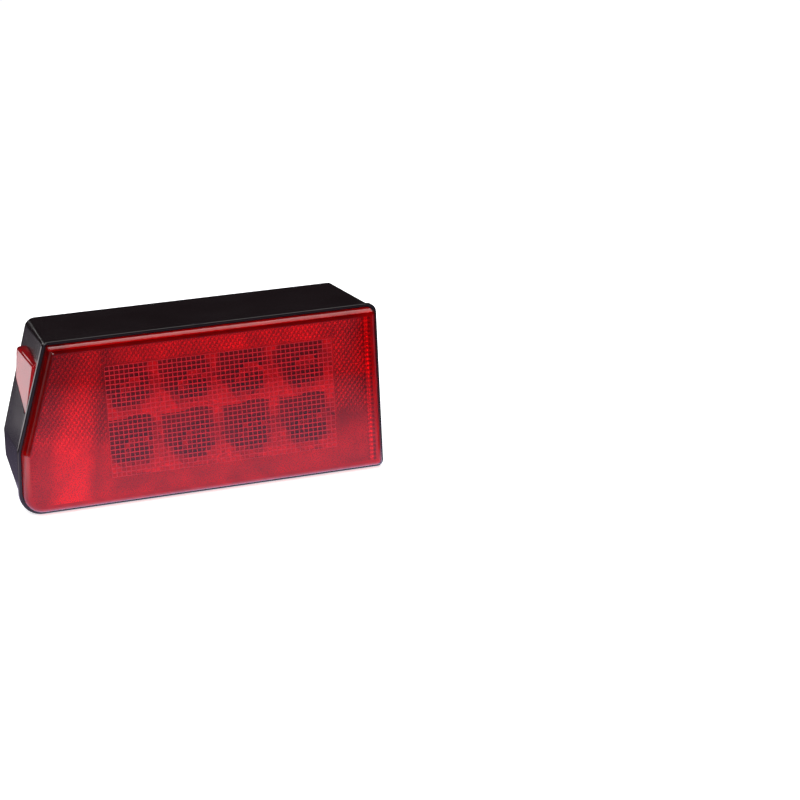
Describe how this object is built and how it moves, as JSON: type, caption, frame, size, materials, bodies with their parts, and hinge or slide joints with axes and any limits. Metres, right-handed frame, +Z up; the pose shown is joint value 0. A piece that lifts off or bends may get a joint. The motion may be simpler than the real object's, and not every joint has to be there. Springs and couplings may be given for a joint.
{
  "type": "trailer tail light",
  "caption": "Boxy low-profile trailer tail lamp with a bevelled red main lens, slanted outer end with side marker, LED board behind, number-plate window and rear mounting studs.",
  "frame": {"origin": "on the flat mounting face at the back, halfway between the two studs", "axes": "+Z up, -Y out of the main lens, +Y along the studs into the bracket, -X towards the outer end with the side marker"},
  "size_m": [0.2024, 0.1034, 0.093],
  "materials": {
    "black_body": "moulded, satin gloss",
    "red_lens": "moulded clear red, polished outside, prisms inside",
    "red_marker": "moulded clear red, polished outside",
    "clear_window": "moulded clear, fine flutes inside",
    "seal_rubber": "matt black",
    "bright_reflector": "vacuum-metallised plastic",
    "board_mask": "green solder mask",
    "led_body": "white moulding",
    "led_dome": "clear cast resin",
    "tinned_copper": "tinned",
    "resistor_body": "ceramic chip with black glaze",
    "component_body": "moulded epoxy",
    "capacitor_can": "bare can",
    "zinc_screw": "zinc plated",
    "header_plastic": "natural nylon",
    "wire_cover": "soft red covering",
    "zinc_stud": "zinc plated, rolled thread"
  },
  "bodies": {
    "root": {"board_screws": "zinc_screw", "capacitors": "capacitor_can", "diodes": "component_body", "header_pins": "tinned_copper", "housing": "black_body", "led_domes": "led_dome", "led_packages": "led_body", "led_terminals": "tinned_copper", "lens_seal": "seal_rubber", "main_board": "board_mask", "main_lens": "red_lens", "mounting_studs": "zinc_stud", "plate_board": "board_mask", "plate_board_screws": "zinc_screw", "plate_jumper_wires": "wire_cover", "plate_led_domes": "led_dome", "plate_led_packages": "led_body", "plate_window": "clear_window", "reflector": "bright_reflector", "regulator": "component_body", "regulator_tab": "tinned_copper", "resistors": "resistor_body", "side_board": "board_mask", "side_board_screws": "zinc_screw", "side_jumper_wires": "wire_cover", "side_led_domes": "led_dome", "side_led_packages": "led_body", "side_marker_lens": "red_marker", "supply_header": "header_plastic", "wire_grommet": "seal_rubber"}
  },
  "joints": []
}
